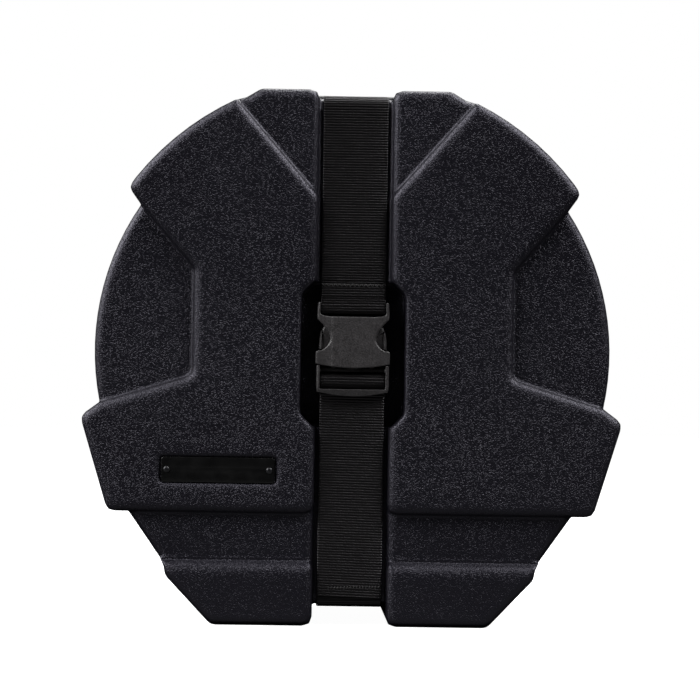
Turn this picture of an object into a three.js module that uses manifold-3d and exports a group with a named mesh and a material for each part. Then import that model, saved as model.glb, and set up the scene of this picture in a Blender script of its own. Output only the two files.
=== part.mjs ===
// Round moulded drum case with a strap and a side release buckle.
// Millimetres, +Z up, the face looks along -Y, the origin is under the middle of the feet.
import * as THREE from 'three';
import { mergeVertices } from 'three/addons/utils/BufferGeometryUtils.js';
import Module from 'manifold-3d';

const wasm = await Module();
wasm.setup();

// Driving dimensions of the case
const bodyRadius = 201;
const caseDepth = 230;
const wall = 4;
const panelRelief = 7;
const grooveDepth = 6;
const pocketDepth = 8;
const edgeRadius = 6;
const cornerRadius = 7.5;
const partingOffset = 10;
const rimThickness = 5;
const neckLength = 28;
const neckThickness = 3.4;
const lidSlideGap = 0.6;

// Clearances
const restGap = 0.3;
const lapGap = 0.05;
const plugFloorGap = 0.4;
const cutOverrun = 5;

// Places of the outline, as shares of bodyRadius from the middle of the round body
const footDropShare = 1.062;
const footFlatShare = 0.535;
const footTipShares = [0.715, -0.873];
const footTopShares = [0.72, -0.838];
const bandFootShares = [0.736, -0.806];
const bandTopShare = 0.861;
const panelFootShare = -0.627;
const panelCornerShare = 0.941;
const lowerTipShares = [1.051, -0.262];
const upperTipShares = [0.876, 0.625];
const raisedArcShare = 1.078;
const shoulderShares = [0.426, 0.983];
const blockFlatShare = 0.369;
const blockTopShare = 1.0174;
const pocketInnerShare = 0.62;
const pocketHighShare = 0.316;
const pocketLowShare = -0.0975;
const notchTopShare = 0.6055;
const cornerReachShare = 0.45;
const pocketLowAngle = -12;
const pocketHighAngle = 34;
const raisedLowAngle = 38;
const raisedHighAngle = 64.5;

// Strap
const strapWidth = 50.8;
const strapThickness = 1.8;
const strapSideGap = 3.4;
const grooveCornerRadius = 8;
const grooveTopInset = 6.6;
const grooveFootInset = 3.9;
const tailRise = 22;
const sewnLoopLength = 26;
const strapRivetSpacing = 120;

// Buckle
const socketFootDrop = 12.5;
const socketLength = 40;
const socketHalfWidth = 29;
const socketThickness = 15;
const socketProud = 3;
const socketWall = 3;
const socketRoof = 2.7;
const throatHalfWidth = 20;
const throatHeight = 13;
const windowHalfWidth = 24.5;
const notchHalfWidth = 18;
const notchLow = 13.5;
const notchHigh = 38;
const notchDeepestShare = 0.4;
const notchBendShares = [0.16, 0.63];
const lugRadius = 2.2;
const earRadius = 1;
const earTopHalf = 27.4;
const topEdgeRise = 2.6;
const topEdgeHalf = 14;
const earHalfWidth = 28;
const earLength = 11.2;
const socketBarGap = 4.4;
const barHeight = 4;
const barThickness = 3;
const socketFootBow = 3.2;
const webSideGap = 0.3;
const plugHalfWidth = 28.3;
const plugThickness = 9.2;
const plugLength = 22;
const shoulderHeight = 2.6;
const shoulderThickness = 5;
const plugBarHeight = 5;
const plugBarDrop = 6.2;
const plugBarThickness = 3.2;
const endBarHeight = 2.6;
const endBarBow = 2.9;
const plugRailDrop = 19;
const railRiseShare = 0.7;
const guideHalfWidth = 4;
const guideLength = 33;
const prongThickness = 8;
const armPivotHalf = 15;
const armRootRadius = 3;
const armShankHalf = 18.3;
const armHeadHalf = 26.5;
const armTopHalf = 22.6;
const armBendShare = 0.78;
const armInnerHalf = 13;
const armHeadLow = 14.1;
const armHeadHigh = 31.5;
const armLength = 33;
const buckleSideRoom = 11.4;
const buckleHeadRoom = 15.7;
const buckleFootRoom = 45.5;
const buckleChamfer = 9.5;

// Plate on the face
const plateLength = 87.9;
const plateHeight = 19.6;
const plateThickness = 1.6;
const plateCorner = 2;
const plateAcrossShare = -0.515;
const plateUpShare = -0.463;
const recessDepth = 3.2;
const recessSideGap = 2.2;
const recessHeadGap = 0.8;
const pinSpacing = 79.8;
const badgePinHead = 2.6;
const badgePinRise = 0.9;
const badgePinShank = 1.2;

// Foam
const linerThickness = 3.7;
const padClearance = 0.5;
const facePadThickness = 17.7;
const backPadThickness = 13.7;

// Handle
const handleSpan = 117;
const armWidth = 11;
const handleThickness = 8.4;
const gripDepth = 24;
const gripThickness = 11;
const handleReach = 52;
const handlePivotBack = 38;
const handleRecessRoom = 5;
const handleRecessDrop = 4.5;
const bracketPlate = 2.5;
const earThickness = 3.6;
const handlePinRadius = 2.5;
const pinHeadLength = 1.6;
const bracketBack = 6;
const bracketFront = 13;
const bracketLip = 1.5;
const handleRivetForward = 9;
const handleRivetSpread = 5.5;
const backingPlateThickness = 2;

// Rivets
const rivetHeadRadius = 3;
const rivetHeadHeight = 1.8;
const rivetShankRadius = 1.9;
const rivetBevelShares = [0.7, 0.75];
const strapRivetHeadRadius = 5;
const strapRivetHeadHeight = 1.8;
const strapRivetShankRadius = 2.2;
const washerRadius = 7;
const washerThickness = 1.4;

// Counts and finishes
const arcSteps = 7;
const cornerSteps = 2;
const edgeSteps = 3;
const ringSteps = 48;
const smallSteps = 12;
const curveSteps = 6;
const finishes = {
  shell: { color: 0x1b1a20, roughness: 0.62, metalness: 0 },
  webbing: { color: 0x131211, roughness: 0.85, metalness: 0 },
  buckle: { color: 0x242325, roughness: 0.42, metalness: 0 },
  plate: { color: 0x0c0c0d, roughness: 0.5, metalness: 0 },
  foam: { color: 0x2c2c2f, roughness: 0.95, metalness: 0 },
  steel: { color: 0x2a2a2c, roughness: 0.35, metalness: 0.9 },
  grip: { color: 0x18181a, roughness: 0.6, metalness: 0 },
};

// Places worked out from the driving dimensions
const centreHeight = footDropShare * bodyRadius;
const faceFront = -caseDepth / 2;
const bodyFront = faceFront + panelRelief;
const grooveFloor = bodyFront + grooveDepth;
const pocketFloor = grooveFloor + pocketDepth;
const blockTop = centreHeight + blockTopShare * bodyRadius;
const grooveTop = blockTop - grooveTopInset;
const grooveFoot = centreHeight - bodyRadius + grooveFootInset;
const grooveHalf = strapWidth / 2 + strapSideGap;
const lidOpening = bodyRadius - wall;
const neckOuter = lidOpening - lidSlideGap;
const neckInner = neckOuter - neckThickness;
const lidParting = -partingOffset - restGap / 2;
const baseParting = -partingOffset + restGap / 2;
const neckFront = baseParting - neckLength;
const lumpHalf = grooveHalf + wall;
const notchHalf = lumpHalf + lidSlideGap;
const farOut = 2 * bodyRadius;

// Solids
function toSolid(geometry) {
  const bare = geometry.clone();
  bare.deleteAttribute('normal');
  bare.deleteAttribute('uv');
  const merged = mergeVertices(bare);
  return new wasm.Manifold(new wasm.Mesh({
    numProp: 3,
    vertProperties: new Float32Array(merged.attributes.position.array),
    triVerts: new Uint32Array(merged.index.array),
  }));
}

function toGeometry(solid) {
  const mesh = solid.getMesh();
  const geometry = new THREE.BufferGeometry();
  geometry.setAttribute('position', new THREE.BufferAttribute(new Float32Array(mesh.vertProperties), 3));
  geometry.setIndex(new THREE.BufferAttribute(new Uint32Array(mesh.triVerts), 1));
  return geometry;
}

function turnedRound(solid) {
  return toSolid(toGeometry(solid).rotateZ(Math.PI));
}

function shapeOf(points, holes = []) {
  const shape = new THREE.Shape(points.map(([x, y]) => new THREE.Vector2(x, y)));
  for (const hole of holes) {
    shape.holes.push(new THREE.Path(hole.map(([x, y]) => new THREE.Vector2(x, y))));
  }
  return shape;
}

// Outline in X and Z, swept from yFront back to yBack
function alongY(points, yFront, yBack, holes = []) {
  const geometry = new THREE.ExtrudeGeometry(shapeOf(points, holes), {
    depth: yBack - yFront, bevelEnabled: false,
  });
  return toSolid(geometry.rotateX(Math.PI / 2).translate(0, yBack, 0));
}

// Closed body through outlines of as many points each, from the front one back
function loft(rings) {
  const count = rings[0].points.length;
  const vertices = rings.flatMap(({ points, y }) => points.flatMap(([x, z]) => [x, y, z]));
  const contour = rings[rings.length - 1].points.map(([x, z]) => new THREE.Vector2(x, z));
  const rear = count * (rings.length - 1);
  const faces = THREE.ShapeUtils.triangulateShape(contour, [])
    .flatMap(([a, b, c]) => [a, b, c, rear + c, rear + b, rear + a]);
  for (let start = 0; start < rear; start += count) {
    for (let i = 0; i < count; i++) {
      const here = start + i;
      const next = start + ((i + 1) % count);
      faces.push(here, next + count, next, here, here + count, next + count);
    }
  }
  return new wasm.Manifold(new wasm.Mesh({
    numProp: 3,
    vertProperties: new Float32Array(vertices),
    triVerts: new Uint32Array(faces),
  }));
}

// The same sweep with its front edge rounded
function softAlongY(points, yFront, yBack, radius) {
  const rings = [{ points, y: yBack }];
  for (let i = 0; i <= edgeSteps; i++) {
    const turn = ((Math.PI / 2) * i) / edgeSteps;
    const ring = { points: inset(points, radius * (1 - Math.cos(turn))), y: yFront + radius * (1 - Math.sin(turn)) };
    rings.unshift(ring);
  }
  return loft(rings);
}

// Outline in Y and Z, swept along X
function alongX(points, xLow, xHigh, holes = []) {
  const geometry = new THREE.ExtrudeGeometry(shapeOf(points, holes), {
    depth: xHigh - xLow, bevelEnabled: false,
  });
  const turn = new THREE.Matrix4().set(0, 0, 1, xLow, 1, 0, 0, 0, 0, 1, 0, 0, 0, 0, 0, 1);
  return toSolid(geometry.applyMatrix4(turn));
}

// Outline in X and Y, swept upwards
function alongZ(points, zLow, zHigh) {
  const geometry = new THREE.ExtrudeGeometry(shapeOf(points), {
    depth: zHigh - zLow, bevelEnabled: false,
  });
  return toSolid(geometry.translate(0, 0, zLow));
}

function block([xLow, yLow, zLow], [xHigh, yHigh, zHigh]) {
  const geometry = new THREE.BoxGeometry(xHigh - xLow, yHigh - yLow, zHigh - zLow);
  return toSolid(geometry.translate((xLow + xHigh) / 2, (yLow + yHigh) / 2, (zLow + zHigh) / 2));
}

// Round bar along one axis, from low to high, round the centre of its other two coordinates
function rod(axis, radius, low, high, [u, v], steps = smallSteps) {
  const geometry = new THREE.CylinderGeometry(radius, radius, high - low, steps);
  return toSolid(placeOnAxis(geometry.translate(0, (low + high) / 2, 0), axis, [u, v]));
}

function placeOnAxis(geometry, axis, [u, v]) {
  if (axis === 'x') return geometry.rotateZ(-Math.PI / 2).translate(0, u, v);
  if (axis === 'y') return geometry.translate(u, 0, v);
  return geometry.rotateX(Math.PI / 2).translate(u, v, 0);
}

// Outlines
function circle(radius, steps = ringSteps) {
  const points = [];
  for (let i = 0; i < steps; i++) {
    const turn = (2 * Math.PI * (i + 0.5)) / steps;
    points.push([radius * Math.cos(turn), centreHeight + radius * Math.sin(turn)]);
  }
  return points;
}

function onCircle(radius, degrees) {
  const turn = THREE.MathUtils.degToRad(degrees);
  return [radius * Math.cos(turn), centreHeight + radius * Math.sin(turn)];
}

function arc(radius, fromDegrees, toDegrees, steps = arcSteps) {
  const points = [];
  for (let i = 0; i <= steps; i++) {
    points.push(onCircle(radius, fromDegrees + ((toDegrees - fromDegrees) * i) / steps));
  }
  return points;
}

function place([across, up]) {
  return [across * bodyRadius, centreHeight + up * bodyRadius];
}

function rounded(points) {
  const result = [];
  points.forEach(([x, y, radius = 0], i) => {
    if (radius <= 0) {
      result.push([x, y]);
      return;
    }
    const before = points[(i + points.length - 1) % points.length];
    const after = points[(i + 1) % points.length];
    const corner = new THREE.Vector2(x, y);
    const back = new THREE.Vector2(before[0], before[1]).sub(corner);
    const ahead = new THREE.Vector2(after[0], after[1]).sub(corner);
    const half = Math.acos(THREE.MathUtils.clamp(back.dot(ahead) / back.length() / ahead.length(), -1, 1)) / 2;
    const reach = Math.min(radius / Math.tan(half), cornerReachShare * back.length(), cornerReachShare * ahead.length());
    const start = corner.clone().add(back.setLength(reach));
    const end = corner.clone().add(ahead.setLength(reach));
    const bend = new THREE.QuadraticBezierCurve(start, corner, end);
    for (const point of bend.getPoints(cornerSteps)) result.push([point.x, point.y]);
  });
  return result;
}

// Moves a counterclockwise outline in by a distance
function inset(points, distance) {
  return points.map(([x, y, radius = 0], i) => {
    const before = points[(i + points.length - 1) % points.length];
    const after = points[(i + 1) % points.length];
    const into = new THREE.Vector2(x - before[0], y - before[1]).normalize();
    const out = new THREE.Vector2(after[0] - x, after[1] - y).normalize();
    const turn = into.x * out.y - into.y * out.x;
    const mitre = distance / (1 + into.dot(out));
    const newRadius = radius > 0 ? Math.max(radius - Math.sign(turn) * distance, wall / 4) : 0;
    return [x - mitre * (into.y + out.y), y + mitre * (into.x + out.x), newRadius];
  });
}

function mirrored(points) {
  return points.map(([x, y, radius]) => [-x, y, radius]).reverse();
}

function footCorners() {
  return [
    [footFlatShare * bodyRadius, 0, cornerRadius],
    [...place(footTipShares), cornerRadius],
    [...place(footTopShares), 0],
    [...place(bandFootShares), 0],
  ];
}

function rightOutline() {
  return [
    ...footCorners(),
    [...place([bandTopShare, panelFootShare]), 0],
    [...place([panelCornerShare, panelFootShare]), cornerRadius],
    [...place(lowerTipShares), cornerRadius],
    ...arc(bodyRadius, pocketLowAngle, pocketHighAngle, 2 * arcSteps),
    [...place(upperTipShares), cornerRadius],
    ...arc(raisedArcShare * bodyRadius, raisedLowAngle, raisedHighAngle),
    [...place(shoulderShares), 0],
    [blockFlatShare * bodyRadius, blockTop, cornerRadius],
  ];
}

function silhouette() {
  return [...rightOutline(), ...mirrored(rightOutline())];
}

// The body beside the strap groove
function sideOutline() {
  return [[grooveHalf, 0, cornerRadius], ...rightOutline(), [grooveHalf, blockTop, cornerRadius]];
}

function panelOutline() {
  return [
    [grooveHalf, place([0, panelFootShare])[1], cornerRadius],
    [...place([panelCornerShare, panelFootShare]), cornerRadius],
    [...place(lowerTipShares), cornerRadius],
    onCircle(bodyRadius, pocketLowAngle),
    [...place([pocketInnerShare, pocketLowShare]), cornerRadius],
    [...place([pocketInnerShare, pocketHighShare]), cornerRadius],
    onCircle(bodyRadius, pocketHighAngle),
    [...place(upperTipShares), cornerRadius],
    ...arc(raisedArcShare * bodyRadius, raisedLowAngle, raisedHighAngle),
    [grooveHalf, place([0, notchTopShare])[1], cornerRadius],
  ];
}

function footOutline() {
  return [
    [grooveHalf, 0, cornerRadius],
    ...footCorners(),
    [grooveHalf, place(bandFootShares)[1], cornerRadius],
  ];
}

// Case body: the floor of the strap groove is a rounded loop in Y and Z
function grooveLoop(offset) {
  const radius = grooveCornerRadius + offset;
  const front = grooveFloor - offset;
  const foot = grooveFoot - offset;
  const top = grooveTop + offset;
  return rounded([
    [front, foot, radius],
    [-front, foot, radius],
    [-front, top, radius],
    [front, top, radius],
  ]);
}

function beyondLoop(offset, halfWidth) {
  const around = [
    [-farOut, -farOut],
    [farOut, -farOut],
    [farOut, 2 * farOut],
    [-farOut, 2 * farOut],
  ];
  return alongX(around, -halfWidth, halfWidth, [grooveLoop(offset)]);
}

function outerHalf(parting) {
  const levels = [
    [sideOutline(), bodyFront, parting + cutOverrun],
    [panelOutline(), faceFront, bodyFront + 2 * edgeRadius],
    [footOutline(), faceFront, bodyFront + 2 * edgeRadius],
  ];
  let solid = alongX(grooveLoop(0), -lumpHalf, lumpHalf);
  for (const [outline, front, back] of levels) {
    for (const points of [rounded(outline), mirrored(rounded(outline))]) {
      solid = solid.add(softAlongY(points, front, back, edgeRadius));
    }
  }
  const behind = block([-farOut, parting, -farOut], [farOut, parting + farOut, 2 * farOut]);
  return solid.subtract(behind);
}

function innerRoom(parting, opening) {
  const inside = inset(silhouette(), wall);
  let room = alongY(rounded(inside), bodyFront + wall, parting - rimThickness);
  for (const raised of [panelOutline(), footOutline()]) {
    const hollow = rounded(inset(raised, wall));
    for (const points of [hollow, mirrored(hollow)]) {
      room = room.add(alongY(points, faceFront + wall, bodyFront + 2 * wall));
    }
  }
  return room.add(alongY(circle(opening), bodyFront + wall, parting + cutOverrun));
}

function bucklePocketOutline(offset) {
  const half = socketHalfWidth + buckleSideRoom + offset;
  const foot = buckleFoot - buckleFootRoom - offset;
  const top = buckleTop + buckleHeadRoom + offset;
  const inner = half - buckleChamfer;
  return [
    [inner, foot],
    [half, foot + buckleChamfer],
    [half, top - buckleChamfer],
    [inner, top],
    [-inner, top],
    [-half, top - buckleChamfer],
    [-half, foot + buckleChamfer],
    [-inner, foot],
  ];
}

const buckleFoot = centreHeight - socketFootDrop;
const buckleTop = buckleFoot + socketLength + earLength;
const plateAcross = plateAcrossShare * bodyRadius;
const plateUp = centreHeight + plateUpShare * bodyRadius;

function plateOutline(sideGap, headGap) {
  const half = plateLength / 2 + sideGap;
  const rise = plateHeight / 2 + headGap;
  return rounded([
    [plateAcross - half, plateUp - rise, plateCorner + headGap],
    [plateAcross + half, plateUp - rise, plateCorner + headGap],
    [plateAcross + half, plateUp + rise, plateCorner + headGap],
    [plateAcross - half, plateUp + rise, plateCorner + headGap],
  ]);
}

const recessFloor = faceFront + recessDepth;
const badgePins = [-pinSpacing / 2, pinSpacing / 2].map((offset) => [plateAcross + offset, plateUp]);

function lidShell() {
  const pocketLump = alongY(bucklePocketOutline(wall), faceFront, pocketFloor + wall);
  const plateLump = alongY(plateOutline(recessSideGap + wall, recessHeadGap + wall), faceFront, recessFloor + wall);
  const room = innerRoom(lidParting, lidOpening)
    .subtract(beyondLoop(-wall, lumpHalf))
    .subtract(pocketLump)
    .subtract(plateLump);
  let shell = outerHalf(lidParting)
    .subtract(alongY(bucklePocketOutline(0), faceFront - cutOverrun, pocketFloor))
    .subtract(alongY(plateOutline(recessSideGap, recessHeadGap), faceFront - cutOverrun, recessFloor))
    .subtract(room);
  for (const centre of badgePins) {
    shell = shell.subtract(rod('y', badgePinShank + restGap, faceFront, recessFloor + wall + cutOverrun, centre));
  }
  return shell;
}

// Handle places
const recessTop = blockTop - handleRecessDrop;
const bracketBase = recessTop + restGap;
const handlePivotHeight = bracketBase + bracketPlate + restGap + handleThickness / 2;
const handlePivotY = handlePivotBack - partingOffset;
const handleEnd = handleSpan / 2;
const recessFront = handlePivotY - bracketFront - bracketLip;
const recessBack = handlePivotY + handleReach + gripDepth / 2 + handleRecessRoom;
const halfRecess = handleEnd + earThickness + pinHeadLength + handleRecessRoom;
const plateUnder = recessTop - wall - restGap - backingPlateThickness;
const bracketSides = [-1, 1];

function handleRivetPlaces(side) {
  const middle = side * (handleEnd - armWidth / 2);
  const y = handlePivotY - handleRivetForward;
  return [[middle - side * handleRivetSpread, y], [middle + side * handleRivetSpread, y]];
}

const strapRivetPlaces = [strapRivetSpacing / 2, -strapRivetSpacing / 2]
  .map((offset) => [0, centreHeight + offset]);

function baseShell() {
  const recess = (offset) => block(
    [-halfRecess - offset, recessFront - offset, recessTop - offset],
    [halfRecess + offset, recessBack + offset, blockTop + farOut],
  );
  const room = turnedRound(innerRoom(-baseParting, neckInner))
    .subtract(beyondLoop(-wall, lumpHalf))
    .subtract(recess(wall));
  const neckRing = alongY(circle(neckOuter), neckFront, baseParting + rimThickness)
    .subtract(alongY(circle(neckInner), neckFront - cutOverrun, baseParting + rimThickness + cutOverrun));
  const neck = neckRing.subtract(block([-notchHalf, neckFront - cutOverrun, 0],
    [notchHalf, baseParting, blockTop + farOut]));
  let shell = turnedRound(outerHalf(-baseParting))
    .subtract(recess(0))
    .subtract(room)
    .add(neck.subtract(beyondLoop(-wall, lumpHalf)));
  for (const centre of strapRivetPlaces) {
    shell = shell.subtract(rod('y', strapRivetShankRadius + restGap, 0, caseDepth, centre));
  }
  for (const side of bracketSides) {
    for (const centre of handleRivetPlaces(side)) {
      shell = shell.subtract(rod('z', rivetShankRadius + restGap, recessTop - 2 * wall, blockTop, centre));
    }
  }
  return shell;
}

// Foam
const lidLinerFront = bodyFront + wall + facePadThickness + 2 * restGap;
const baseLinerBack = -bodyFront - wall - backPadThickness - 2 * restGap;

function facePad() {
  const front = bodyFront + wall + restGap;
  const clearOfPocket = alongY(bucklePocketOutline(wall + restGap), faceFront, pocketFloor + wall + restGap);
  return alongY(circle(lidOpening - padClearance), front, front + facePadThickness)
    .subtract(beyondLoop(-wall - restGap, lumpHalf + restGap))
    .subtract(clearOfPocket);
}

function backPad() {
  const back = -bodyFront - wall - restGap;
  const washerRoom = washerThickness + strapRivetHeadHeight + 2 * restGap;
  let pad = alongY(circle(lidOpening - padClearance), back - backPadThickness, back)
    .subtract(beyondLoop(-wall - restGap, lumpHalf + restGap));
  for (const centre of strapRivetPlaces) {
    const lumpFace = -grooveFloor - wall;
    pad = pad.subtract(rod('y', washerRadius + restGap, lumpFace - washerRoom, caseDepth, centre));
  }
  return pad;
}

function liner(side, yFront, yBack) {
  const outer = neckInner + linerThickness;
  const open = THREE.MathUtils.radToDeg(Math.asin((notchHalf + restGap) / neckInner));
  const outside = arc(outer, -90 + open, 90 - open, 4 * arcSteps);
  const inside = arc(neckInner, 90 - open, -90 + open, 4 * arcSteps);
  const outline = [...outside, ...inside];
  return alongY(side > 0 ? outline : mirrored(outline), yFront, yBack);
}

// The rear liner has room for the tails of the handle's rivets
function rearLiner(side) {
  let foam = liner(side, baseParting + rimThickness + restGap, baseLinerBack);
  const tail = plateUnder - restGap - rivetHeadHeight / 2;
  for (const centre of handleRivetPlaces(side)) {
    const radius = rivetShankRadius + rivetHeadHeight / 2 + restGap;
    foam = foam.subtract(rod('z', radius, tail - restGap, blockTop, centre));
  }
  return foam;
}

// Strap
const strapHalf = strapWidth / 2;
const strapBack = grooveFloor - restGap;
const strapFront = strapBack - strapThickness;
const tailFront = strapFront - strapThickness;

function strapLoop() {
  return alongX(grooveLoop(restGap + strapThickness), -strapHalf, strapHalf, [grooveLoop(restGap)]);
}

function strapRear() {
  let strap = strapLoop().subtract(block([-farOut, -farOut, -farOut], [farOut, baseParting, 2 * farOut]));
  for (const centre of strapRivetPlaces) {
    strap = strap.subtract(rod('y', strapRivetShankRadius + restGap, 0, caseDepth, centre));
  }
  return strap;
}

const socketFront = faceFront + socketProud;
const socketBack = socketFront + socketThickness;
const socketMiddle = (socketFront + socketBack) / 2;
const socketBarFoot = buckleFoot + socketLength + socketBarGap;
const socketBarTop = socketBarFoot + barHeight;
const upperFold = buckleFoot + socketLength + sewnLoopLength;

function strapFrontUpper() {
  const barFront = socketMiddle - barThickness / 2 - restGap;
  const barBack = socketMiddle + barThickness / 2 + restGap;
  const run = strapLoop().intersect(block([-farOut, -farOut, upperFold], [farOut, lidParting, 2 * farOut]));
  const outline = [
    [strapBack, upperFold + strapThickness],
    [strapFront, upperFold + strapThickness],
    [tailFront, upperFold],
    [tailFront, socketBarTop + 2 * strapThickness],
    [barFront - strapThickness, socketBarTop],
    [barFront - strapThickness, socketBarFoot],
    [barFront, socketBarFoot - restGap - strapThickness],
    [barBack, socketBarFoot - restGap - strapThickness],
    [barBack + strapThickness, socketBarFoot],
    [barBack + strapThickness, socketBarTop],
    [strapBack, socketBarTop + 2 * strapThickness],
  ];
  const aroundBar = [
    [barFront, socketBarFoot - restGap],
    [barBack, socketBarFoot - restGap],
    [barBack, socketBarTop + restGap],
    [barFront, socketBarTop + restGap],
  ];
  return run.add(alongX(outline, -strapHalf, strapHalf, [aroundBar]));
}

const plugTop = buckleFoot - webSideGap;
const plugBack = grooveFloor - plugFloorGap;
const plugFront = plugBack - plugThickness;
const plugBarTop = plugTop - plugBarDrop;
const plugBarFoot = plugBarTop - plugBarHeight;
const endBarTop = buckleFoot - plugLength + endBarHeight + endBarBow;
const endBarBack = tailFront - restGap;
const plugBarBack = strapFront - 2 * restGap;
const plugBarFront = plugBarBack - plugBarThickness;

function strapFrontLower() {
  const webFront = plugBarFront - restGap - strapThickness;
  const webTop = plugBarTop + restGap + strapThickness;
  const cut = plugBarFoot;
  const run = strapLoop().intersect(block([-farOut, -farOut, -farOut], [farOut, lidParting, cut]));
  const tail = block([-strapHalf, tailFront, tailRise], [strapHalf, strapFront + lapGap, endBarTop - endBarHeight]);
  const outline = [
    [strapBack, endBarTop - 2 * endBarHeight],
    [strapBack, webTop - strapThickness],
    [strapBack - strapThickness, webTop],
    [webFront + strapThickness / 2, webTop],
    [webFront, webTop - strapThickness],
    [webFront, plugBarFoot],
    [webFront + strapThickness, plugBarFoot - strapThickness],
    [tailFront, plugBarFoot - 2 * strapThickness],
    [tailFront, endBarTop - 2 * endBarHeight],
  ].reverse();
  const aroundBar = [
    [plugBarFront - restGap, plugBarFoot - restGap],
    [plugBarBack + restGap, plugBarFoot - restGap],
    [plugBarBack + restGap, plugBarTop + restGap],
    [plugBarFront - restGap, plugBarTop + restGap],
  ];
  return run.add(tail).add(alongX(outline, -strapHalf, strapHalf, [aroundBar]));
}

// Buckle
function curve(from, bend, to) {
  const line = new THREE.QuadraticBezierCurve(
    new THREE.Vector2(...from), new THREE.Vector2(...bend), new THREE.Vector2(...to));
  return line.getPoints(curveSteps).map((point) => [point.x, point.y]);
}

function bothSides(rightPoints) {
  return [...rightPoints, ...mirrored(rightPoints)];
}

function buckleSocket() {
  const bodyTop = buckleFoot + socketLength;
  const notchHeight = notchHigh - notchLow;
  const notchAt = (share) => buckleFoot + notchLow + share * notchHeight;
  const webRoom = strapHalf + webSideGap;
  const footEdge = curve([0, buckleFoot], [socketHalfWidth / 2, buckleFoot],
    [socketHalfWidth, buckleFoot + socketFootBow]);
  const outline = rounded(bothSides([
    ...footEdge.slice(1),
    [socketHalfWidth, buckleFoot + notchLow, lugRadius],
    ...curve([windowHalfWidth, notchAt(0)], [notchHalfWidth, notchAt(notchBendShares[0])],
      [notchHalfWidth, notchAt(notchDeepestShare)]),
    ...curve([notchHalfWidth, notchAt(notchDeepestShare)], [notchHalfWidth, notchAt(notchBendShares[1])],
      [earHalfWidth, notchAt(1)]).slice(1),
    [earHalfWidth, socketBarFoot],
    [earTopHalf, buckleTop, earRadius],
    [webRoom, buckleTop, earRadius / 2],
    ...curve([webRoom, bodyTop + topEdgeRise], [webRoom, bodyTop], [topEdgeHalf, bodyTop]),
  ]));
  const room = block(
    [-windowHalfWidth, socketFront + socketWall, buckleFoot + throatHeight],
    [windowHalfWidth, socketBack - socketWall, bodyTop - socketRoof],
  );
  const throat = block(
    [-throatHalfWidth, socketFront + socketWall, buckleFoot - cutOverrun],
    [throatHalfWidth, socketBack - socketWall, buckleFoot + throatHeight + cutOverrun],
  );
  const barReach = earHalfWidth - webSideGap;
  const bar = block(
    [-barReach, socketMiddle - barThickness / 2, socketBarFoot],
    [barReach, socketMiddle + barThickness / 2, socketBarTop],
  );
  return alongY(outline, socketFront, socketBack).subtract(room).subtract(throat).add(bar);
}

const prongFront = socketMiddle - prongThickness / 2;
const prongBack = socketMiddle + prongThickness / 2;
const armPivotHeight = plugTop + armRootRadius;

function armRootPlace(side) {
  return [side * armPivotHalf, armPivotHeight];
}

function bucklePlug() {
  const inner = strapHalf + webSideGap;
  const bar = (half, front, back, foot, top) => block([-half, front, foot], [half, back, top]);
  const railFoot = buckleFoot - plugRailDrop;
  const railTop = plugTop + railRiseShare * socketFootBow;
  let plug = bar(plugHalfWidth, plugFront, plugBack, railFoot, railTop)
    .subtract(bar(inner, plugFront - cutOverrun, plugBack + cutOverrun, railFoot - cutOverrun, railTop + cutOverrun));
  const shoulderBack = plugFront + shoulderThickness;
  plug = plug
    .add(bar(inner + webSideGap, plugFront + socketWall, shoulderBack + socketWall, plugTop - shoulderHeight, plugTop))
    .add(bar(inner + webSideGap, plugBarFront, plugBarBack, plugBarFoot, plugBarTop))
    .add(bar(guideHalfWidth, prongFront, prongBack, plugTop - shoulderHeight, plugTop + guideLength));
  const endBarFoot = endBarTop - endBarHeight;
  const lens = curve([0, endBarFoot - endBarBow], [inner / 2, endBarFoot - endBarBow],
    [inner + webSideGap, endBarFoot]);
  const endBar = bothSides([...lens.slice(1), [inner + webSideGap, endBarTop]]);
  plug = plug.add(alongY(endBar, plugFront, endBarBack));
  return plug;
}

function releaseArm(side) {
  const headFoot = buckleFoot + armHeadLow + restGap;
  const headTop = buckleFoot + armLength;
  const points = [
    [armPivotHalf - armRootRadius, armPivotHeight],
    [armPivotHalf - armRootRadius / 2, plugTop + restGap],
    [armPivotHalf + armRootRadius / 2, plugTop + restGap],
    [armPivotHalf + armRootRadius, armPivotHeight],
    [armShankHalf, buckleFoot + armHeadLow],
    ...curve([armHeadHalf, headFoot], [armHeadHalf, headFoot + armBendShare * (headTop - headFoot)],
      [armTopHalf, headTop]),
    [armShankHalf - armRootRadius, buckleFoot + armHeadHigh - armRootRadius],
    [armInnerHalf, buckleFoot + armHeadLow],
  ];
  return alongY(side > 0 ? points : mirrored(points), prongFront, prongBack);
}

// Fasteners: a turned profile from its head down, closed on the axis
function rivet(headRadius, headHeight, shankRadius, gripLength) {
  const tail = headHeight / 2;
  const profile = [
    [0, -gripLength - tail],
    [shankRadius + tail, -gripLength - tail],
    [shankRadius + tail, -gripLength],
    [shankRadius, -gripLength],
    [shankRadius, 0],
    [headRadius, 0],
    [headRadius * rivetBevelShares[0], headHeight * rivetBevelShares[1]],
    [0, headHeight],
  ];
  return new THREE.LatheGeometry(profile.map(([r, y]) => new THREE.Vector2(r, y)), smallSteps);
}

// The profile's +Y end, where the head is, looks along the given direction
function rivetFacing(direction, geometry, position) {
  const turn = new THREE.Quaternion().setFromUnitVectors(new THREE.Vector3(0, 1, 0), direction);
  return toSolid(geometry.applyQuaternion(turn).translate(...position));
}

const facingFront = new THREE.Vector3(0, -1, 0);
const facingBack = new THREE.Vector3(0, 1, 0);
const facingUp = new THREE.Vector3(0, 0, 1);

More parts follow.
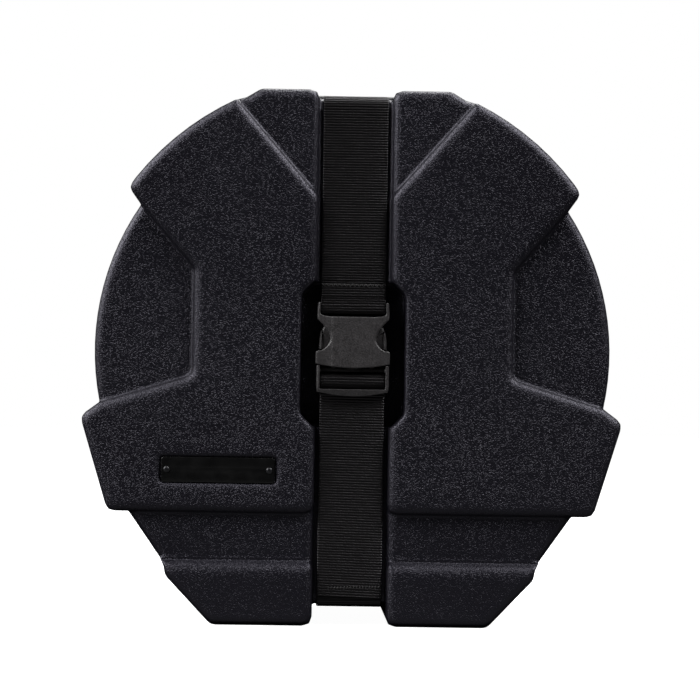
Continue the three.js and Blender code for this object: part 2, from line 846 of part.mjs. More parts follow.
// Handle
function handleGrip() {
  const inner = handleEnd - armWidth;
  const reach = handlePivotY + handleReach;
  const end = handlePivotY - handleThickness / 2;
  const frame = alongZ(rounded([
    [-handleEnd, end],
    [-inner, end],
    [-inner, reach - gripDepth / 2, cornerRadius],
    [inner, reach - gripDepth / 2, cornerRadius],
    [inner, end],
    [handleEnd, end],
    [handleEnd, reach + gripDepth / 2, 2 * cornerRadius],
    [-handleEnd, reach + gripDepth / 2, 2 * cornerRadius],
  ]), handlePivotHeight - handleThickness / 2, handlePivotHeight + handleThickness / 2);
  const grip = alongX(rounded([
    [reach - gripDepth / 2, handlePivotHeight - gripThickness / 2, gripThickness / 3],
    [reach + gripDepth / 2, handlePivotHeight - gripThickness / 2, gripThickness / 3],
    [reach + gripDepth / 2, handlePivotHeight + gripThickness / 2, gripThickness / 3],
    [reach - gripDepth / 2, handlePivotHeight + gripThickness / 2, gripThickness / 3],
  ]), -inner, inner);
  const cornerRod = (side) => rod('x', handleThickness / 2, side > 0 ? inner : -handleEnd,
    side > 0 ? handleEnd : -inner, [handlePivotY, handlePivotHeight]);
  const squareEnds = block([-farOut, -farOut, 0], [farOut, handlePivotY, 2 * farOut]);
  let handle = frame.subtract(squareEnds).add(cornerRod(1)).add(cornerRod(-1)).add(grip);
  handle = handle.subtract(rod('x', handlePinRadius + restGap, -farOut, farOut,
    [handlePivotY, handlePivotHeight]));
  return handle;
}

function handleBracket(side) {
  const middle = side * (handleEnd - armWidth / 2);
  const earGap = armWidth / 2 + restGap;
  const half = earGap + earThickness;
  const plateFront = handlePivotY - bracketFront;
  const plateBack = handlePivotY + bracketBack;
  let bracket = block([middle - half, plateFront, bracketBase], [middle + half, plateBack, bracketBase + bracketPlate]);
  const earRadius = handleThickness / 2 + restGap;
  for (const edge of bracketSides) {
    const low = middle + (edge > 0 ? earGap : -half);
    const high = middle + (edge > 0 ? half : -earGap);
    bracket = bracket
      .add(rod('x', earRadius, low, high, [handlePivotY, handlePivotHeight]))
      .add(block([low, handlePivotY - earRadius, bracketBase], [high, handlePivotY + earRadius, handlePivotHeight]));
  }
  bracket = bracket.subtract(rod('x', handlePinRadius + restGap, -farOut, farOut,
    [handlePivotY, handlePivotHeight]));
  for (const centre of handleRivetPlaces(side)) {
    bracket = bracket.subtract(rod('z', rivetShankRadius + restGap, 0, farOut * 2, centre));
  }
  return bracket;
}

function handlePin(side) {
  const middle = side * (handleEnd - armWidth / 2);
  const half = armWidth / 2 + restGap + earThickness + restGap;
  const at = [handlePivotY, handlePivotHeight];
  return rod('x', handlePinRadius, middle - half, middle + half, at)
    .add(rod('x', handlePinRadius + 2 * restGap, middle - half - pinHeadLength, middle - half + lapGap, at))
    .add(rod('x', handlePinRadius + 2 * restGap, middle + half - lapGap, middle + half + pinHeadLength, at));
}

function backingPlate(side) {
  const middle = side * (handleEnd - armWidth / 2);
  const half = armWidth / 2 + restGap + earThickness;
  const y = handlePivotY - handleRivetForward;
  let plate = block(
    [middle - half, y - bracketBack, plateUnder],
    [middle + half, y + bracketBack, plateUnder + backingPlateThickness],
  );
  for (const centre of handleRivetPlaces(side)) {
    plate = plate.subtract(rod('z', rivetShankRadius + restGap, 0, farOut * 2, centre));
  }
  return plate;
}

// Assembly
const materials = {};
for (const [name, finish] of Object.entries(finishes)) {
  materials[name] = new THREE.MeshStandardMaterial(finish);
}

const drumCase = new THREE.Group();

function addPiece(name, solid, finish) {
  const geometry = toGeometry(solid);
  geometry.computeVertexNormals();
  const mesh = new THREE.Mesh(geometry, materials[finish]);
  mesh.name = name;
  drumCase.add(mesh);
}

addPiece('base_shell', baseShell(), 'shell');
addPiece('lid_shell', lidShell(), 'shell');
addPiece('lid_face_pad', facePad(), 'foam');
addPiece('base_back_pad', backPad(), 'foam');

for (const [side, name] of [[-1, 'left'], [1, 'right']]) {
  addPiece(`lid_liner_${name}`, liner(side, lidLinerFront, neckFront - restGap), 'foam');
  addPiece(`base_liner_${name}`, rearLiner(side), 'foam');
}

addPiece('strap_rear', strapRear(), 'webbing');
addPiece('strap_front_upper', strapFrontUpper(), 'webbing');
addPiece('strap_front_lower', strapFrontLower(), 'webbing');

const backOfStrap = -strapFront + restGap;
const lumpFace = -grooveFloor - wall;
['upper', 'lower'].forEach((name, i) => {
  const [x, z] = strapRivetPlaces[i];
  const washerBack = lumpFace - restGap;
  const washerFront = washerBack - washerThickness;
  addPiece(`strap_washer_${name}`, rod('y', washerRadius, washerFront, washerBack, [x, z])
    .subtract(rod('y', strapRivetShankRadius + restGap, 0, caseDepth, [x, z])), 'steel');
  const strapRivet = rivet(strapRivetHeadRadius, strapRivetHeadHeight, strapRivetShankRadius,
    backOfStrap - washerFront + restGap);
  addPiece(`strap_rivet_${name}`, rivetFacing(facingBack, strapRivet, [x, backOfStrap, z]), 'steel');
});

addPiece('buckle_socket', buckleSocket(), 'buckle');
addPiece('buckle_plug', bucklePlug(), 'buckle');
addPiece('release_arm_left', releaseArm(-1), 'buckle');
addPiece('release_arm_right', releaseArm(1), 'buckle');

const plateBackY = recessFloor - restGap;
const plateFrontY = plateBackY - plateThickness;
let plate = alongY(plateOutline(0, 0), plateFrontY, plateBackY);
badgePins.forEach(([x, z], i) => {
  plate = plate.subtract(rod('y', badgePinShank + restGap, faceFront - cutOverrun, recessFloor, [x, z]));
  const grip = recessFloor + wall + restGap - (plateFrontY - restGap);
  const pin = rivet(badgePinHead, badgePinRise, badgePinShank, grip);
  addPiece(`badge_pin_${['left', 'right'][i]}`, rivetFacing(facingFront, pin, [x, plateFrontY - restGap, z]), 'plate');
});
addPiece('badge_plate', plate, 'plate');

addPiece('handle_grip', handleGrip(), 'grip');
for (const [side, name] of [[-1, 'left'], [1, 'right']]) {
  addPiece(`handle_bracket_${name}`, handleBracket(side), 'steel');
  addPiece(`handle_pin_${name}`, handlePin(side), 'steel');
  addPiece(`handle_backing_plate_${name}`, backingPlate(side), 'steel');
  const headSeat = bracketBase + bracketPlate + restGap;
  handleRivetPlaces(side).forEach(([x, y], i) => {
    const pieceName = `handle_rivet_${name}_${['inner', 'outer'][i]}`;
    const handleRivet = rivet(rivetHeadRadius, rivetHeadHeight, rivetShankRadius,
      headSeat - plateUnder + restGap);
    addPiece(pieceName, rivetFacing(facingUp, handleRivet, [x, y, headSeat]), 'steel');
  });
}

export default drumCase;
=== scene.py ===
import math
from typing import NamedTuple

import bmesh
import bpy
from mathutils import Matrix, Quaternion, Vector


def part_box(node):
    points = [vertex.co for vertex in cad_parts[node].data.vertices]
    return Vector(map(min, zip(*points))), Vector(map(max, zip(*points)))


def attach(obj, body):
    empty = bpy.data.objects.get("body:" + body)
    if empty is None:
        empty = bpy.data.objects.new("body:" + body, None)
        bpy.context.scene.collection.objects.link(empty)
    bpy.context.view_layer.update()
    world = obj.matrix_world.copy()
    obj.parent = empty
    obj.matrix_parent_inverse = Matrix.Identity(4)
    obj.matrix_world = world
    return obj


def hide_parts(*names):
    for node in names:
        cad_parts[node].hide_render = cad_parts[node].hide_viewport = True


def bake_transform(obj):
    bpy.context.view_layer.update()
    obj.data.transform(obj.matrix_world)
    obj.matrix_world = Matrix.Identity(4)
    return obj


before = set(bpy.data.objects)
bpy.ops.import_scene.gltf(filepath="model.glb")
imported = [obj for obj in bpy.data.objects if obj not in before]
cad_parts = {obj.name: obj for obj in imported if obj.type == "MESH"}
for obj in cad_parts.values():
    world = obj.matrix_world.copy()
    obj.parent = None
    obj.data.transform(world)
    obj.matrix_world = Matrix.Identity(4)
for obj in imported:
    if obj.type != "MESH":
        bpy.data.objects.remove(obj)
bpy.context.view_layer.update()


class Mould(NamedTuple):
    """How fine a moulded skin is, how often it is smoothed and how many triangles it may keep."""

    voxel: float
    rounds: int
    triangles: int


class Rounding(NamedTuple):
    """A stretch of a shell's face, from a depth outwards, and how often it is smoothed further."""

    across: tuple
    up: tuple
    depth: float
    rounds: int


# Units, directions and limits
MM = 0.001
WELD = 0.002 * MM
RIGHTWARD = Vector((1, 0, 0))
FRONTWARD = Vector((0, -1, 0))
BACKWARD = Vector((0, 1, 0))
UPWARD = Vector((0, 0, 1))
FLAT_ANGLE = math.radians(1)
CREASE_ANGLE = math.radians(40)
BEVELLED_ANGLE = 1.0  # radians
SMOOTHING = 0.5

# Corners of the CAD nodes that the new pieces follow
LID_LOW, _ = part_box("lid_shell")
STRAP_LOW, STRAP_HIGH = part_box("strap_rear")
SOCKET_LOW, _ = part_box("buckle_socket")
PLUG_LOW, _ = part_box("buckle_plug")

# Shells
SHELL_MOULD = Mould(1 * MM, 2, 190000)
WHOLE_FACE = Rounding((-215 * MM, 215 * MM), (-1 * MM, 420 * MM), 112.8 * MM, 14)
RECESS_LIP = Rounding((-154 * MM, -53 * MM), (104 * MM, 137 * MM), 112.6 * MM, 24)
FOOT_EDGES = Rounding((-200 * MM, 200 * MM), (37 * MM, 53 * MM), 107 * MM, 8)
POCKET_EDGE = Rounding((-62 * MM, 62 * MM), (140 * MM, 284 * MM), 104 * MM, 26)
FACE_REACH = 115 * MM
STEP_REACH = 108.1 * MM
FOOT_TOP = 51.5 * MM
FOOT_ROUND = 11.5 * MM
FOOT_ROUND_START = 39.5 * MM

# Webbing
WEB_THICKNESS = 1.8 * MM
WEB_HALF_WIDTH = (STRAP_HIGH.x - STRAP_LOW.x) / 2
RIB_PITCH = 2.06 * MM
ROWS_PER_RIB = 5
RIB_DEPTH_SHARE = 0.95
RIB_EDGE_SHARE = 0.008
RIB_FULLNESS = 3

# Section of the webbing, as shares of its half width and half thickness
SECTION_SHARES = (
    (-1, 0), (-0.988, 0.75), (-0.95, 1), (-0.35, 1), (0.35, 1), (0.95, 1), (0.988, 0.75),
    (1, 0), (0.988, -0.75), (0.95, -1), (0.35, -1), (-0.35, -1), (-0.95, -1), (-0.988, -0.75),
)

# Route of the strap's middle surface, in Y and Z, with the radius of each bend
STRAP_TOP = STRAP_HIGH.z - WEB_THICKNESS / 2
STRAP_FOOT = STRAP_LOW.z + WEB_THICKNESS / 2
STRAP_BACK = STRAP_HIGH.y - WEB_THICKNESS / 2
STRAP_FRONT = -STRAP_BACK
SECOND_LAYER = STRAP_FRONT - WEB_THICKNESS
STRAP_CORNER = 9.2 * MM
TOP_RUN_END = 93 * MM
BEND = 3 * MM
BEND_STEPS = 8
SEWN_LOOP = [
    (STRAP_FRONT, 257 * MM, BEND), (-101.8 * MM, 250 * MM, BEND), (-101.8 * MM, 243.96 * MM, 2.65 * MM),
    (-107.2 * MM, 243.96 * MM, 2.65 * MM), (-107.2 * MM, 251 * MM, BEND), (SECOND_LAYER, 256 * MM, BEND),
]
SEWN_END = 266.9 * MM
PLUG_LOOP = [
    (STRAP_FRONT, 195.66 * MM, 2.8 * MM), (-109.1 * MM, 195.66 * MM, 2.8 * MM),
    (-109.1 * MM, 188.6 * MM, BEND), (SECOND_LAYER, 184.6 * MM, BEND),
]
TAIL_END = 22 * MM
TAIL_LEAN = 0.034

# Stitches, on the outer face of the second layer
THREAD_RADIUS = 0.32 * MM
STITCHED_FACE = SECOND_LAYER - WEB_THICKNESS / 2
SEWN_ROW = 265.6 * MM
SEWN_ROW_HALF = 1.1 * MM
SEWN_STEP = 1.7 * MM
TAIL_ROW = 30 * MM
TAIL_ROW_LEFT = -16.5 * MM
TAIL_ROW_RIGHT = 23.5 * MM
TAIL_STEP = 2.47 * MM
TAIL_STITCH_HALF = 1 * MM
TAIL_SLANT_SHARE = 0.5

# Buckle's socket
SOCKET_MOULD = Mould(0.45 * MM, 3, 110000)
SOCKET_SKIN = 2.4 * MM
SOCKET_SIDE = 2.2 * MM
FACET_HALF = 15.2 * MM
FACET_DROP = 0.5 * MM
FACET_DROP_WIDTH = 2.8 * MM
FACET_SLOPE = 0.04
SIDE_STEP = 1 * MM
SIDE_FULLNESS = 0.95

# Buckle's plug
PLUG_MOULD = Mould(0.4 * MM, 3, 90000)
PLUG_SKIN = 3 * MM
PLUG_SIDE = 1.8 * MM
SHOULDER_FOOT = 197.5 * MM
SHOULDER_HEAD = 201.2 * MM
SHOULDER_HALF = 24.6 * MM
SHOULDER_SET_BACK = 3 * MM
END_CORNER = 188 * MM
END_TAPER = 0.06
END_BAR_TOP = 184 * MM
END_LEAN = 0.3
END_BACK = -103 * MM

# Release arms
ARM_MOULD = Mould(0.35 * MM, 3, 30000)
ARM_BAND = 2.1 * MM
ARM_BAND_REACH = 4.5 * MM
ARM_BAND_DROP = 14 * MM
ARM_LINE_OUTER = 228.9 * MM
ARM_LINE_DROP = 3.4 * MM
ARM_LINE_REACH = 7.5 * MM
ARM_LINE_HALF = 0.6 * MM
ARM_LINE_DEPTH = 0.7 * MM
ARM_RIM = 1.9 * MM
ARM_RIM_SLOPE = 0.8 * MM
ARM_HOLLOW = 1.7 * MM

# Plate and foam
PLATE_EDGE = 0.45 * MM
FACE_PIN_RISE = 1.1 * MM
PAD_MOULD = Mould(2.4 * MM, 5, 150000)
PAD_CROWN = 2 * MM
LINER_MOULD = Mould(1.6 * MM, 4, 60000)

# Handle and fasteners
GRIP_MOULD = Mould(0.8 * MM, 6, 60000)
BRACKET_MOULD = Mould(0.4 * MM, 3, 60000)
BACKING_MOULD = Mould(0.4 * MM, 2, 60000)
TURNED_STEPS = 32
WASHER_STEPS = 40
DOME_STEPS = 6
HANDLE_RIVET_HEAD = 3 * MM
STRAP_RIVET_HEAD = 5 * MM
RIVET_RISE = 1.8 * MM
WASHER_BORE = 2.5 * MM
PIN_SHANK = 2.5 * MM
PIN_HEAD_LENGTH = 1.6 * MM
PIN_CROWN = 0.5 * MM

# Floor, light and camera
FLOOR_HALF = 6
FLOOR_DROP = 0.1 * MM
CASE_MIDDLE = Vector((0, 0, 0.22))
PICTURE_WIDTH = 543.5 * MM
SENSOR_WIDTH = 36
CAMERA_DISTANCE = 2.6
CAMERA_HEIGHT = 215.1 * MM
CAMERA_SIDE = -2.4 * MM
CAMERA_YAW = math.radians(-1.4)
CAMERA_ROLL = math.radians(0.9)


# Mesh helpers

def new_piece(bm, name, finish):
    """The finished mesh of a bmesh, as a smooth shaded object at the origin."""
    mesh = bpy.data.meshes.new(name)
    bm.to_mesh(mesh)
    bm.free()
    mesh.materials.append(finish)
    mesh.polygons.foreach_set("use_smooth", [True] * len(mesh.polygons))
    piece = bpy.data.objects.new(name, mesh)
    bpy.context.scene.collection.objects.link(piece)
    return piece


def merged_copy(node):
    """A CAD node's mesh with its shared corners merged."""
    bm = bmesh.new()
    bm.from_mesh(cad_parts[node].data)
    bmesh.ops.remove_doubles(bm, verts=bm.verts, dist=WELD)
    return bm


def bevelled_copy(node, width, picked=lambda point: True):
    """A CAD node's mesh with the edges round its front bevelled, where their ends are picked."""
    low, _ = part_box(node)
    bm = merged_copy(node)
    bmesh.ops.dissolve_limit(bm, angle_limit=FLAT_ANGLE, verts=bm.verts, edges=bm.edges)
    edges = [edge for edge in bm.edges if edge.calc_face_angle(0) > BEVELLED_ANGLE
             and all(vertex.co.y < low.y + WELD and picked(vertex.co) for vertex in edge.verts)]
    bmesh.ops.bevel(bm, geom=edges, affect="EDGES", offset=width, segments=3, profile=0.5, material=-1)
    return bm


def settle(piece):
    """Turns a piece's modifiers into its mesh."""
    graph = bpy.context.evaluated_depsgraph_get()
    mesh = bpy.data.meshes.new_from_object(piece.evaluated_get(graph), depsgraph=graph)
    piece.modifiers.clear()
    piece.data = mesh


def skin_over(piece, mould):
    """Makes a piece one smooth skin, with filleted steps."""
    skin = piece.modifiers.new("skin", "REMESH")
    skin.mode = "VOXEL"
    skin.voxel_size = mould.voxel
    skin.use_smooth_shade = True
    soften = piece.modifiers.new("soften", "SMOOTH")
    soften.factor = SMOOTHING
    soften.iterations = mould.rounds
    settle(piece)


def thin_out(piece, mould):
    """Brings a skin within the triangles that it may keep."""
    triangles = sum(len(face.vertices) - 2 for face in piece.data.polygons)
    if triangles > mould.triangles:
        thin = piece.modifiers.new("thin", "DECIMATE")
        thin.ratio = mould.triangles / triangles
        settle(piece)
    piece.data.shade_smooth()


def remould(piece, mould):
    """Makes a piece a smooth skin that is no finer than it may be."""
    skin_over(piece, mould)
    thin_out(piece, mould)
    return piece


def reshape(piece, move):
    """Moves each point of a piece to where a function puts it."""
    for vertex in piece.data.vertices:
        vertex.co = move(vertex.co)
    piece.data.update()


def round_off(piece, side, part):
    """Smooths a part of a skin further. Its side is -1 for the front and 1 for the back."""
    left, right = part.across
    bottom, top = part.up
    bm = bmesh.new()
    bm.from_mesh(piece.data)
    inside = [vertex for vertex in bm.verts if side * vertex.co.y > part.depth
              and bottom < vertex.co.z < top and left < vertex.co.x < right]
    for _ in range(part.rounds):
        bmesh.ops.smooth_vert(
            bm, verts=inside, factor=SMOOTHING, use_axis_x=True, use_axis_y=True, use_axis_z=True)
    bm.to_mesh(piece.data)
    bm.free()


def declare(piece, body, slot, *nodes):
    """The piece rides on a body and stands for CAD nodes. Its slot is not used."""
    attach(piece, body)
    if nodes:
        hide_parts(*nodes)


def put_in_order(parts, place):
    """Sorts corners or faces by where they lie, because a merge leaves them in any order."""
    ranked = sorted(parts, key=lambda part: tuple(place(part)))
    ranks = {part: rank for rank, part in enumerate(ranked)}
    parts.sort(key=ranks.get)


def turned(profile, centre, along, across, steps=TURNED_STEPS):
    """A body turned round an axis. Its profile gives radii and places along the axis."""
    bm = bmesh.new()
    points = [bm.verts.new(centre + along * place + across * radius) for radius, place in profile]
    edges = [bm.edges.new(pair) for pair in zip(points, points[1:])]
    bmesh.ops.spin(bm, geom=points + edges, cent=centre, axis=along, dvec=(0, 0, 0),
                   angle=math.tau, steps=steps, use_merge=True, use_duplicate=False)
    bmesh.ops.remove_doubles(bm, verts=bm.verts, dist=WELD)
    bmesh.ops.recalc_face_normals(bm, faces=bm.faces)
    put_in_order(bm.verts, lambda corner: corner.co)
    put_in_order(bm.faces, lambda face: face.calc_center_median())
    return bm


def dome(radius, rise, place):
    """Profile of a low dome, from its rim to its top."""
    ball = (radius * radius + rise * rise) / (2 * rise)
    reach = math.asin(radius / ball)
    turns = [reach * (1 - i / DOME_STEPS) for i in range(DOME_STEPS + 1)]
    return [(ball * math.sin(turn), place + rise - ball * (1 - math.cos(turn))) for turn in turns]


# Finishes

class Reading:
    """A socket of a finish's nodes. Sums and products on it add Math nodes."""

    def __init__(self, finish, socket):
        self.finish = finish
        self.socket = socket

    def math(self, operation, first, second):
        return self.finish.node("ShaderNodeMath", {"operation": operation}, {0: first, 1: second})

    def __add__(self, other):
        return self.math("ADD", self, other)

    def __sub__(self, other):
        return self.math("SUBTRACT", self, other)

    def __rsub__(self, other):
        return self.math("SUBTRACT", other, self)

    def __mul__(self, other):
        return self.math("MULTIPLY", self, other)

    __radd__ = __add__
    __rmul__ = __mul__


class Finish:
    """A material: what is the same all over sits on its shader, and nodes give what varies."""

    def __init__(self, name, colour, roughness, constants=None):
        self.material = bpy.data.materials.new(name)
        self.material.use_nodes = True
        self.tree = self.material.node_tree
        self.shader = self.tree.nodes["Principled BSDF"]
        self.feed("Base Color", (*colour, 1))
        self.feed("Roughness", roughness)
        for socket, value in (constants or {}).items():
            self.feed(socket, value)

    def fill(self, socket, value):
        """Gives a socket a reading or a plain value."""
        if isinstance(value, Reading):
            self.tree.links.new(value.socket, socket)
        else:
            socket.default_value = value

    def feed(self, name, value):
        """Gives one of the shader's sockets a reading or a plain value."""
        self.fill(self.shader.inputs[name], value)

    def node(self, kind, settings=None, values=None, output=0):
        """Adds a node, and reads one of its outputs."""
        made = self.tree.nodes.new(kind)
        for key, value in (settings or {}).items():
            setattr(made, key, value)
        for key, value in (values or {}).items():
            self.fill(made.inputs[key], value)
        return Reading(self, made.outputs[output])

    def place(self):
        """Object coordinates."""
        return self.node("ShaderNodeTexCoord", output=3)

    def noise(self, where, size, detail=2.0, roughness=0.5):
        """Noise whose features are about a size across, from 0 to 1."""
        return self.node("ShaderNodeTexNoise", None, {
            "Vector": where, "Scale": 1 / size, "Detail": detail, "Roughness": roughness})

    def cells(self, where, size, feature="F1"):
        """Distance from the middle of cells of about a size across."""
        return self.node("ShaderNodeTexVoronoi", {"feature": feature}, {"Vector": where, "Scale": 1 / size})

    def between(self, amount, low, high):
        """Colour between two, by an amount."""
        return self.node("ShaderNodeMix", {"data_type": "RGBA"}, {
            0: amount, 6: (*low, 1), 7: (*high, 1)}, output=2)

    def span(self, value, low, high, to_low=0.0, to_high=1.0):
        """Maps a stretch of values onto another and stays inside it."""
        return self.node("ShaderNodeMapRange", {"clamp": True}, {
            0: value, 1: low, 2: high, 3: to_low, 4: to_high})

    def bump(self, height, depth, strength=1.0):
        """Raises and lowers the surface in the light, by a depth."""
        self.feed("Normal", self.node("ShaderNodeBump", None, {
            "Height": height, "Distance": depth, "Strength": strength}))


def shell_finish():
    """Pebbled black moulding with a cool tint. Its grain is shallower on the feet and the top."""
    finish = Finish("pebbled_shell", (0.0065, 0.0061, 0.0088), 0.3, {
        "Specular Tint": (0.87, 0.84, 1, 1), "Specular IOR Level": 0.38})
    dark = (0.0056, 0.0052, 0.0076)
    light = (0.0074, 0.007, 0.01)
    where = finish.place()
    reach = finish.span(finish.cells(where, size=1.15 * MM), 0, 0.45)
    pebbles = 1 - reach * reach
    grain = finish.noise(where, size=0.7 * MM, detail=1.0)
    patches = finish.noise(where, size=60 * MM)
    height = finish.node("ShaderNodeSeparateXYZ", None, {0: where}, output=2)
    feet = finish.span(height, 50 * MM, 110 * MM, 0.68, 1)
    upper = finish.span(height, 150 * MM, 330 * MM, 1.14, 0.87)
    relief = feet * upper * (0.85 + patches * 0.3)
    finish.feed("Base Color", finish.between(patches, dark, light))
    finish.feed("Roughness", finish.span(grain, 0.3, 0.7, 0.28, 0.33))
    finish.bump((pebbles + grain * 1.4) * relief, depth=0.215 * MM)
    return finish.material


def webbing_finish():
    """Black ribbed webbing, its yarns running lengthways over the ribs."""
    finish = Finish("ribbed_webbing", (0.003, 0.0028, 0.0029), 0.34, {
        "Specular Tint": (1, 0.95, 1, 1), "Specular IOR Level": 0.43})
    dark = (0.001, 0.0009, 0.0009)
    light = (0.0032, 0.0029, 0.003)
    where = finish.place()
    yarns = finish.node("ShaderNodeTexWave", {"bands_direction": "X"}, {
        "Vector": where, "Scale": 0.3 / MM, "Distortion": 1.2, "Detail": 2.0, "Detail Scale": 1.5})
    fuzz = finish.noise(where, size=0.7 * MM, detail=3.0, roughness=0.65)
    finish.feed("Base Color", finish.between(fuzz, dark, light))
    finish.bump(yarns * 0.5 + fuzz, depth=0.08 * MM)
    return finish.material


def thread_finish():
    """Black sewing thread, a little lighter than the webbing and with a fine nap."""
    finish = Finish("sewing_thread", (0.014, 0.0135, 0.013), 0.5, {"Sheen Weight": 0.2})
    dark = (0.01, 0.0095, 0.009)
    light = (0.03, 0.029, 0.028)
    fuzz = finish.noise(finish.place(), size=0.3 * MM, detail=3.0, roughness=0.6)
    finish.feed("Base Color", finish.between(fuzz, dark, light))
    finish.bump(fuzz, depth=0.1 * MM)
    return finish.material


def buckle_finish():
    """Satin dark grey moulding with a very fine matt texture."""
    finish = Finish("satin_buckle", (0.035, 0.0326, 0.034), 0.42)
    dark = (0.02, 0.0186, 0.0194)
    light = (0.052, 0.0485, 0.0505)
    where = finish.place()
    matt = finish.noise(where, size=1.1 * MM, detail=1.0, roughness=0.6)
    cloud = finish.noise(where, size=7 * MM, detail=3.0, roughness=0.6)
    haze = finish.span(cloud * 0.3 + matt * 0.7, 0.35, 0.65)
    finish.feed("Base Color", finish.between(haze, dark, light))
    finish.feed("Roughness", finish.span(cloud, 0.3, 0.7, 0.36, 0.48))
    finish.bump(matt, depth=0.22 * MM)
    return finish.material


def plate_finish():
    """Smooth black plate with faint handling marks."""
    finish = Finish("smooth_plate", (0.003, 0.003, 0.0031), 0.3)
    where = finish.place()
    marks = finish.noise(where, size=14 * MM, detail=4.0, roughness=0.6)
    grain = finish.noise(where, size=0.5 * MM)
    finish.feed("Roughness", finish.span(marks, 0.3, 0.7, 0.24, 0.36))
    finish.bump(grain, depth=0.02 * MM, strength=0.5)
    return finish.material


def foam_finish():
    """Charcoal foam with open cells and a short nap."""
    finish = Finish("charcoal_foam", (0.028, 0.028, 0.031), 0.95, {"Sheen Weight": 0.2})
    dark = (0.02, 0.02, 0.023)
    light = (0.038, 0.038, 0.042)
    where = finish.place()
    pores = finish.cells(where, size=1.3 * MM)
    nap = finish.noise(where, size=5 * MM, detail=4.0, roughness=0.6)
    finish.feed("Base Color", finish.between(nap, dark, light))
    finish.bump(pores + nap * 0.6, depth=0.5 * MM, strength=0.8)
    return finish.material


def steel_finish():
    """Black coated steel, worn a little brighter in places."""
    finish = Finish("coated_steel", (0.02, 0.02, 0.022), 0.3, {"Metallic": 0.5})
    coated = (0.018, 0.018, 0.02)
    worn = (0.09, 0.09, 0.095)
    where = finish.place()
    wear = finish.noise(where, size=3 * MM, detail=5.0, roughness=0.7)
    grain = finish.noise(where, size=0.4 * MM, detail=3.0)
    finish.feed("Base Color", finish.between(finish.span(wear, 0.55, 0.75), coated, worn))
    finish.feed("Roughness", finish.span(wear, 0.3, 0.7, 0.22, 0.38))
    finish.bump(grain, depth=0.02 * MM, strength=0.5)
    return finish.material


def grip_finish():
    """Fine grained black plastic of the handle."""
    finish = Finish("grained_grip", (0.012, 0.012, 0.013), 0.55)
    where = finish.place()
    grain = finish.cells(where, size=0.9 * MM, feature="SMOOTH_F1")
    polish = finish.noise(where, size=18 * MM, detail=3.0)
    finish.feed("Roughness", finish.span(polish, 0.3, 0.7, 0.45, 0.62))
    finish.bump(grain, depth=0.14 * MM, strength=0.7)
    return finish.material


SHELL = shell_finish()
WEBBING = webbing_finish()
THREAD = thread_finish()
BUCKLE = buckle_finish()
PLATE = plate_finish()
FOAM = foam_finish()
STEEL = steel_finish()
GRIP = grip_finish()


# Shells

def round_foot(point):
    """The feet roll over broadly towards their upper edge."""
    if not FOOT_ROUND_START < point.z < FOOT_TOP or abs(point.y) < STEP_REACH:
        return point
    rise = min(point.z - FOOT_ROUND_START, FOOT_ROUND)
    drop = FOOT_ROUND - math.sqrt(FOOT_ROUND * FOOT_ROUND - rise * rise)
    reach = min(abs(point.y), max(STEP_REACH, FACE_REACH - drop))
    return Vector((point.x, math.copysign(reach, point.y), point.z))


def moulding(node, name, body, side, softer):
    """A moulded half of the case, its steps filleted and its edges soft."""
    piece = new_piece(merged_copy(node), name, SHELL)
    skin_over(piece, SHELL_MOULD)
    reshape(piece, round_foot)
    for part in softer:
        round_off(piece, side, part)
    thin_out(piece, SHELL_MOULD)
    declare(piece, body, "shell", node)


moulding("lid_shell", "lid_moulding", "lid", -1, [WHOLE_FACE, RECESS_LIP, FOOT_EDGES, POCKET_EDGE])
moulding("base_shell", "base_moulding", "base", 1, [WHOLE_FACE, FOOT_EDGES])


# Webbing

def bent_route(corners):
    """Points in Y and Z along a line through the corners, each turned with its own radius."""
    points = [Vector(corners[0][:2])]
    for before, here, after in zip(corners, corners[1:], corners[2:]):
        corner = Vector(here[:2])
        back = (Vector(before[:2]) - corner).normalized()
        ahead = (Vector(after[:2]) - corner).normalized()
        half = back.angle(ahead) / 2
        centre = corner + (back + ahead).normalized() * here[2] / math.sin(half)
        reach = here[2] / math.tan(half)
        start = corner + back * reach - centre
        end = corner + ahead * reach - centre
        turn = math.pi - 2 * half
        for i in range(BEND_STEPS + 1):
            share = i / BEND_STEPS
            arm = start * math.sin((1 - share) * turn) + end * math.sin(share * turn)
            points.append(centre + arm / math.sin(turn))
    points.append(Vector(corners[-1][:2]))
    return points


class Route:
    """A strap's way, with the place and direction at any distance along it."""

    def __init__(self, corners):
        self.points = bent_route(corners)
        self.marks = [0.0]
        for a, b in zip(self.points, self.points[1:]):
            self.marks.append(self.marks[-1] + (b - a).length)
        self.length = self.marks[-1]

    def at(self, distance):
        i = 0
        while i < len(self.marks) - 2 and self.marks[i + 1] < distance:
            i += 1
        step = self.points[i + 1] - self.points[i]
        share = (distance - self.marks[i]) / (self.marks[i + 1] - self.marks[i])
        return self.points[i] + step * share, step.normalized()


